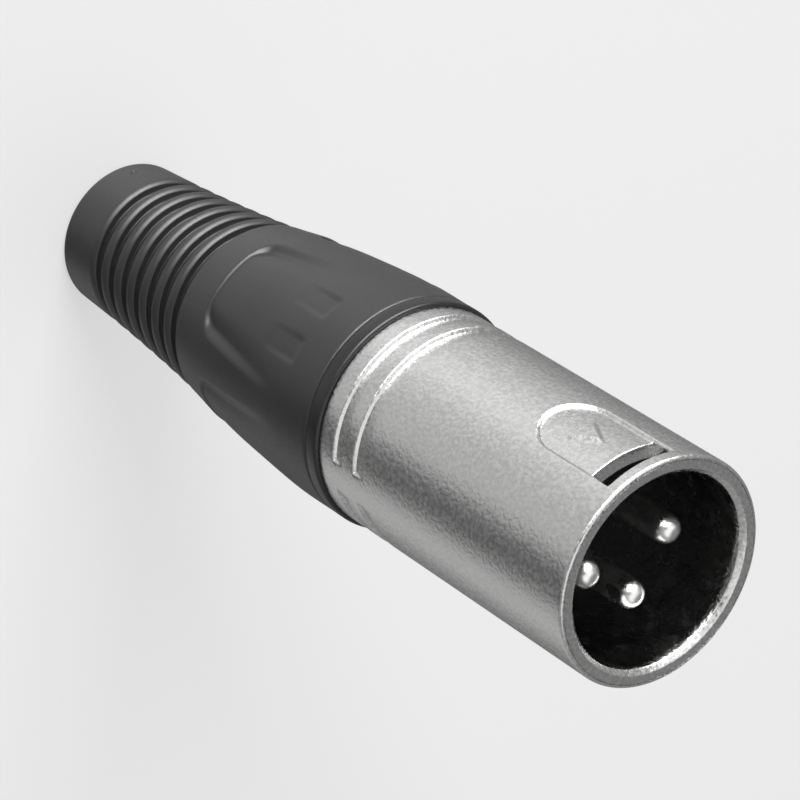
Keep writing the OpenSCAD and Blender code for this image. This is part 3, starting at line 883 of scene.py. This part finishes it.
def contact_mesh(name, sizes):
    """Domed pin, shoulder, shank and a solder cup, which open_cup later cuts open on one side"""
    facets = sizes.facets
    tip = PIN_HIGH.z
    rear = PIN_LOW.z
    r = sizes.pin_radius
    s = sizes.cup_radius
    face = INSERT_FACE
    shoulder = face - sizes.shoulder
    bevel = 0.12 * MM
    outline = [(0, rear + sizes.cup_deep + 0.35 * MM), (sizes.cup_bore, rear + sizes.cup_deep),
               (sizes.cup_bore, rear + sizes.cup_open), (sizes.cup_bore, rear)]
    outline += [(s - bevel, rear), (s, rear + bevel), (s, rear + sizes.cup_open), (s, shoulder - bevel),
                (s - bevel, shoulder), (sizes.root_radius, shoulder), (sizes.root_radius, face),
                (r - bevel, face), (r, face + bevel), (r, tip - r)]
    outline += arc(0, tip - r, r, 0, 90, 14)[1:-1]
    outline += [(0, tip)]
    turns = np.arange(facets) * 2 * pi / facets
    vertices = [(0, 0, outline[0][1])]
    rings = outline[1:-1]
    for radius, z in rings:
        vertices += [(radius * cos(t), radius * sin(t), z) for t in turns]
    vertices.append((0, 0, outline[-1][1]))
    faces = []
    for j in range(facets):
        k = (j + 1) % facets
        faces.append([0, 1 + k, 1 + j])
        for i in range(len(rings) - 1):
            low = 1 + i * facets
            high = low + facets
            faces.append([low + j, low + k, high + k, high + j])
        top = 1 + (len(rings) - 1) * facets
        faces.append([top + j, top + k, len(vertices) - 1])
    return solid_mesh(name, vertices, faces, 40)


def open_cup(piece, sizes):
    """Cuts the side of the solder cup away"""
    half = 2 * sizes.cup_radius
    cut = sizes.cup_bore / 2
    low = PIN_LOW.z - MM
    high = PIN_LOW.z + sizes.cup_open
    corners = [(x, y, z) for x in (-half, -cut) for y in (-half, half) for z in (low, high)]
    faces = [[0, 1, 3, 2], [4, 6, 7, 5], [0, 4, 5, 1], [2, 3, 7, 6], [0, 2, 6, 4], [1, 5, 7, 3]]
    cutter = link("cup_cutter", solid_mesh("cup_cutter", corners, faces, 30))
    modifier = piece.modifiers.new("open", "BOOLEAN")
    modifier.operation = "DIFFERENCE"
    modifier.solver = "EXACT"
    modifier.object = cutter
    ready = piece.evaluated_get(bpy.context.evaluated_depsgraph_get())
    mesh = bpy.data.meshes.new_from_object(ready)
    piece.modifiers.clear()
    piece.data = mesh
    bpy.data.objects.remove(cutter)
    mesh.set_sharp_from_angle(angle=radians(40))


class MakeShell(bpy.types.Operator):
    """Make the nickel-plated shell with its recess, window, arrow and rings"""

    bl_idname = "plug.make_shell"
    bl_label = "Make shell"

    def execute(self, context):
        scene = context.scene
        nickel = satin_nickel(scene.plug_finishes)
        piece = link("shell_casting", shell_mesh(scene.plug_shell))
        finish(piece, nickel)
        # The walls inside the shell take the darker nickel as painted shade
        paint_well_shade(piece, scene.plug_shell, shade_painted_nickel(scene.plug_finishes))
        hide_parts("shell")
        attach(piece, "shell_body")
        gland = scene.plug_gland
        socket = SHELL_R - scene.plug_shell.thread_wall
        ridge = thread_ridge("shell_thread", gland, nickel, socket - gland.thread_deep / 2 + SHELL_SINK,
                             gland.shell_turns, JOINT + gland.thread_start - gland.thread_pitch / 2,
                             gland.thread_crest, THREAD_ROOT * gland.thread_pitch)
        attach(ridge, "shell_body")
        return {"FINISHED"}


class MakeContacts(bpy.types.Operator):
    """Make the three turned contacts"""

    bl_idname = "plug.make_contacts"
    bl_label = "Make contacts"

    def execute(self, context):
        sizes = context.scene.plug_contacts
        silver = silver_plate(context.scene.plug_finishes)
        circle = (PIN_LOW.x + PIN_HIGH.x) / 2
        for node, degrees in PIN_TURNS.items():
            piece = link("contact_" + node, contact_mesh("contact_" + node, sizes))
            open_cup(piece, sizes)
            turn = Matrix.Rotation(radians(degrees), 4, "Z")
            piece.data.transform(turn @ Matrix.Translation((circle, 0, 0)))
            finish(piece, silver)
            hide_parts(node)
            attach(piece, "shell_body")
        return {"FINISHED"}


class FinishInsides(bpy.types.Operator):
    """Finish the insert, the ground tab and the chuck, which keep their CAD shapes"""

    bl_idname = "plug.finish_insides"
    bl_label = "Finish insides"

    def execute(self, context):
        finishes = context.scene.plug_finishes
        finish_node("insert", moulding("insert_moulding", finishes.moulding, 0.5, 0.25 * MM, 0.006 * MM))
        finish_node("ground_tab", tinned_strip(finishes))
        finish_node("chuck", moulding("chuck_acetal", finishes.acetal, 0.38, 0.4 * MM, 0.004 * MM))
        return {"FINISHED"}


class MakeGland(bpy.types.Operator):
    """Make the gland core with its flange and its thread"""

    bl_idname = "plug.make_gland"
    bl_label = "Make gland"

    def execute(self, context):
        sizes = context.scene.plug_gland
        finishes = context.scene.plug_finishes
        black = moulding("gland_moulding", finishes.moulding, 0.3, 0.3 * MM, 0.003 * MM)
        mesh = lathe("gland_core_moulding", gland_profile(sizes), GLAND_FACETS, 40)
        piece = link("gland_core_moulding", mesh)
        piece.data.flip_normals()
        finish(piece, black)
        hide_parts("gland_core")
        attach(piece, "gland_body")
        ridge = thread_ridge("gland_thread", sizes, black,
                             sizes.neck_radius - sizes.thread_deep / 2 - NECK_SINK,
                             sizes.thread_turns, JOINT + sizes.thread_start,
                             THREAD_ROOT * sizes.thread_pitch, sizes.thread_crest)
        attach(ridge, "gland_body")
        return {"FINISHED"}


class MakeBoot(bpy.types.Operator):
    """Make the rubber boot with its grooves, scoops and notches"""

    bl_idname = "plug.make_boot"
    bl_label = "Make boot"

    def execute(self, context):
        scene = context.scene
        piece = link("boot_sleeve", boot_mesh(scene.plug_boot, scene.plug_gland))
        finish(piece, boot_rubber(scene.plug_finishes))
        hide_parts("boot")
        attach(piece, "gland_body")
        return {"FINISHED"}


# Stage

# Camera: place in millimetres, and the directions that it looks in and that are up in its picture
CAMERA_PLACE = (136.661, -165.991, 255.846)
CAMERA_FORWARD = (-0.44969, 0.54358, -0.70873)
CAMERA_UP = (-0.40888, -0.83074, -0.37773)

# Lamps: place and width in metres; both aim at the middle of the plug
MIDDLE = (0, 0, 0.035)
KEY_LIGHT = ((-0.05, -0.55, 0.32), 0.35)
TOP_LIGHT = ((-0.2, 0.2, 0.7), 0.8)

# What the metal and the gloss mirror. Each height is the upward part of a direction, from -1 to 1.
# Brightness of the cards round the plug, by direction in degrees
CARDS = ((-180, 0.30), (-160, 0.47), (-140, 0.62), (-120, 0.78), (-100, 0.92), (-90, 0.79), (-70, 0.61),
         (-50, 0.53), (-30, 0.53), (-20, 0.52), (-12, 0.30), (-4, 0.16), (5, 0.13), (14, 0.10), (22, 0.13),
         (30, 0.27), (40, 0.45), (50, 0.51), (60, 0.50), (80, 0.32), (90, 0.20), (120, 0.14), (150, 0.19),
         (180, 0.30))
# Table below the cards: heights where it takes over, direction it brightens in, darkest and brightest level
TABLE_FADE = (-0.90, -0.80)
TABLE_SLOPE = (-0.5, -0.87, 0)
TABLE_LEVELS = (0.05, 0.85)
# Tent over the cards and a brighter card overhead: heights where each fades in, and its brightness
TENT = (-0.3, 0.25, 0.32)
OVERHEAD = (0.62, 0.82, 1.0)
# Lit box: directions in degrees and heights where it fades in and out, and its brightness
BOX_AROUND = ((-152, -110), (-95, -42))
BOX_HEIGHT = ((-0.12, 0.15), (0.35, 0.7))
BOX_LEVEL = 11
# Two dark cards: the direction each lies in, how closely a ray points there where it starts and ends to
# fade in, and its brightness
DARK_CARDS = (((0.448, -0.542, 0.711), 0.965, 0.985, 0.08),
              ((-0.448, 0.542, 0.711), 0.70, 0.92, 0.22))


def add_camera(sizes):
    """Camera at the angle of the photo"""
    data = bpy.data.cameras.new("product_camera")
    data.sensor_width = 36
    data.lens = sizes.lens
    data.clip_start = 0.01
    data.clip_end = 20
    camera = link("product_camera", data)
    forward = Vector(CAMERA_FORWARD).normalized()
    right = forward.cross(Vector(CAMERA_UP)).normalized()
    up = right.cross(forward)
    turn = Matrix((right, up, -forward)).transposed().to_4x4()
    camera.matrix_world = Matrix.Translation(MM * Vector(CAMERA_PLACE)) @ turn
    bpy.context.scene.camera = camera


def add_lamp(name, place, width, power):
    """Soft square lamp; the gloss mirrors the studio's cards in its stead"""
    data = bpy.data.lights.new(name, "AREA")
    data.shape = "SQUARE"
    data.size = width
    data.energy = power
    lamp = link(name, data)
    lamp.location = place
    lamp.rotation_euler = (Vector(MIDDLE) - Vector(place)).to_track_quat("-Z", "Y").to_euler()
    lamp.visible_glossy = False


def fade(tree, value, start, end):
    """Soft step from 0 to 1 between two values"""
    return spread(tree, value, 0, 1, start, end, "SMOOTHSTEP")


def fade_out(tree, value, start, end):
    """Soft step from 1 to 0 between two values"""
    return spread(tree, value, 1, 0, start, end, "SMOOTHSTEP")


def along(tree, direction, toward):
    """How far a direction points toward another"""
    node = tree.nodes.new("ShaderNodeVectorMath")
    node.operation = "DOT_PRODUCT"
    node.inputs[1].default_value = toward
    tree.links.new(direction, node.inputs[0])
    return node.outputs["Value"]


def put_card(tree, under, where, level):
    """Lays a grey card of some brightness over the colour under it"""
    node = tree.nodes.new("ShaderNodeMix")
    node.data_type = "RGBA"
    node.inputs["B"].default_value = (level, level, level, 1)
    tree.links.new(where, node.inputs["Factor"])
    tree.links.new(under, node.inputs["A"])
    return node.outputs["Result"]


def cards_in_metal(tree):
    """Brightness by direction that the metal and the gloss mirror"""
    nodes = tree.nodes
    join = tree.links.new
    ray = nodes.new("ShaderNodeTexCoord").outputs["Generated"]
    split = nodes.new("ShaderNodeSeparateXYZ")
    join(ray, split.inputs["Vector"])
    height = split.outputs["Z"]
    around = calculate(tree, "ARCTAN2", split.outputs["Y"], split.outputs["X"])
    ramp = nodes.new("ShaderNodeValToRGB")
    stops = ramp.color_ramp.elements
    while len(stops) < len(CARDS):
        stops.new(0.5)
    for stop, (degrees, level) in zip(stops, CARDS):
        stop.position = (degrees + 180) / 360
        stop.color = (level, level, level, 1)
    join(spread(tree, around, 0, 1, -pi, pi), ramp.inputs["Fac"])
    table = spread(tree, along(tree, ray, TABLE_SLOPE), *TABLE_LEVELS, -0.5, 0.5)
    below = nodes.new("ShaderNodeMix")
    below.data_type = "RGBA"
    join(fade_out(tree, height, *TABLE_FADE), below.inputs["Factor"])
    join(ramp.outputs["Color"], below.inputs["A"])
    join(table, below.inputs["B"])
    result = below.outputs["Result"]
    for start, end, level in (TENT, OVERHEAD):
        result = put_card(tree, result, fade(tree, height, start, end), level)
    (west, east), (low, high) = BOX_AROUND, BOX_HEIGHT
    box = calculate(tree, "MULTIPLY", fade(tree, around, *map(radians, west)),
                    fade_out(tree, around, *map(radians, east)))
    box = calculate(tree, "MULTIPLY", box, fade(tree, height, *low))
    box = calculate(tree, "MULTIPLY", box, fade_out(tree, height, *high))
    result = put_card(tree, result, box, BOX_LEVEL)
    for toward, start, end, level in DARK_CARDS:
        result = put_card(tree, result, fade(tree, along(tree, ray, toward), start, end), level)
    return result


def background(tree, strength, rgb=None):
    """Light from all round, of one colour unless a socket is to give it"""
    node = tree.nodes.new("ShaderNodeBackground")
    node.inputs["Strength"].default_value = strength
    if rgb is not None:
        node.inputs["Color"].default_value = (*rgb, 1)
    return node


def mixed(tree, part, first, second):
    """First shader where part is 0, and second where it is 1"""
    node = tree.nodes.new("ShaderNodeMixShader")
    for value, socket in zip((part, first, second), node.inputs):
        tree.links.new(value, socket)
    return node.outputs["Shader"]


def add_world(sizes):
    """Plain light on the plug, the floor's colour behind it, and the cards in its gloss"""
    world = bpy.data.worlds.new("studio")
    world.use_nodes = True
    bpy.context.scene.world = world
    tree = world.node_tree
    tree.nodes.clear()
    path = tree.nodes.new("ShaderNodeLightPath")
    plain = background(tree, sizes.ambient, (1, 1, 1))
    seen = background(tree, 1, sizes.floor_colour)
    gloss = background(tree, sizes.mirrored)
    tree.links.new(cards_in_metal(tree), gloss.inputs["Color"])
    light = mixed(tree, path.outputs["Is Camera Ray"], plain.outputs["Background"],
                  seen.outputs["Background"])
    light = mixed(tree, path.outputs["Is Glossy Ray"], light, gloss.outputs["Background"])
    output = tree.nodes.new("ShaderNodeOutputWorld")
    tree.links.new(light, output.inputs["Surface"])


def add_floor(sizes):
    """Pale paper under the plug, which the camera sees more evenly lit than it is"""
    half = sizes.floor_size / 2
    corners = [(-half, -half, 0), (half, -half, 0), (half, half, 0), (-half, half, 0)]
    mesh = bpy.data.meshes.new("studio_floor")
    mesh.from_pydata(corners, [], [[0, 1, 2, 3]])
    floor = link("studio_floor", mesh)
    material, tree, shader, place = new_material("floor_paper")
    tree.links.new(tint(tree, noise(tree, place, 0.3, 2), sizes.floor_colour, 0.995, 1.005),
                   shader.inputs["Base Color"])
    shader.inputs["Roughness"].default_value = 0.9
    shader.inputs["Specular IOR Level"].default_value = 0.1
    path = tree.nodes.new("ShaderNodeLightPath")
    glow = tree.nodes.new("ShaderNodeEmission")
    glow.inputs["Color"].default_value = (*sizes.floor_colour, 1)
    evenness = calculate(tree, "MULTIPLY", path.outputs["Is Camera Ray"], sizes.floor_glow)
    paper = mixed(tree, evenness, shader.outputs["BSDF"], glow.outputs["Emission"])
    tree.links.new(paper, tree.nodes["Material Output"].inputs["Surface"])
    finish(floor, material)
    floor.visible_glossy = False


class SetStage(bpy.types.Operator):
    """Set the floor, the lights, the world and the camera"""

    bl_idname = "plug.set_stage"
    bl_label = "Set stage"

    def execute(self, context):
        scene = context.scene
        sizes = scene.plug_stage
        scene.view_settings.view_transform = "Standard"
        add_camera(sizes)
        add_floor(sizes)
        add_world(sizes)
        add_lamp("key_light", *KEY_LIGHT, sizes.key_power)
        add_lamp("top_light", *TOP_LIGHT, sizes.fill_power)
        return {"FINISHED"}


OPERATORS = (MakeShell, MakeContacts, FinishInsides, MakeGland, MakeBoot, SetStage)


class PlugPanel(bpy.types.Panel):
    """Sizes, finishes and steps of the plug"""

    bl_idname = "VIEW3D_PT_cable_plug"
    bl_label = "Cable plug"
    bl_space_type = "VIEW_3D"
    bl_region_type = "UI"
    bl_category = "Cable plug"

    def draw(self, context):
        layout = self.layout
        for group, sizes in GROUPS.items():
            box = layout.box()
            for name in sizes.__annotations__:
                box.prop(getattr(context.scene, group), name)
        for operator in OPERATORS:
            layout.operator(operator.bl_idname)


CLASSES = (*GROUPS.values(), *OPERATORS, PlugPanel)


def register():
    for item in CLASSES:
        bpy.utils.register_class(item)
    for name, group in GROUPS.items():
        setattr(bpy.types.Scene, name, PointerProperty(type=group))


def unregister():
    for name in GROUPS:
        delattr(bpy.types.Scene, name)
    for item in reversed(CLASSES):
        bpy.utils.unregister_class(item)


def main():
    register()
    bpy.ops.plug.make_shell()
    bpy.ops.plug.make_contacts()
    bpy.ops.plug.finish_insides()
    bpy.ops.plug.make_gland()
    bpy.ops.plug.make_boot()
    bpy.ops.plug.set_stage()
    bpy.context.view_layer.update()


if __name__ == "__main__":
    main()
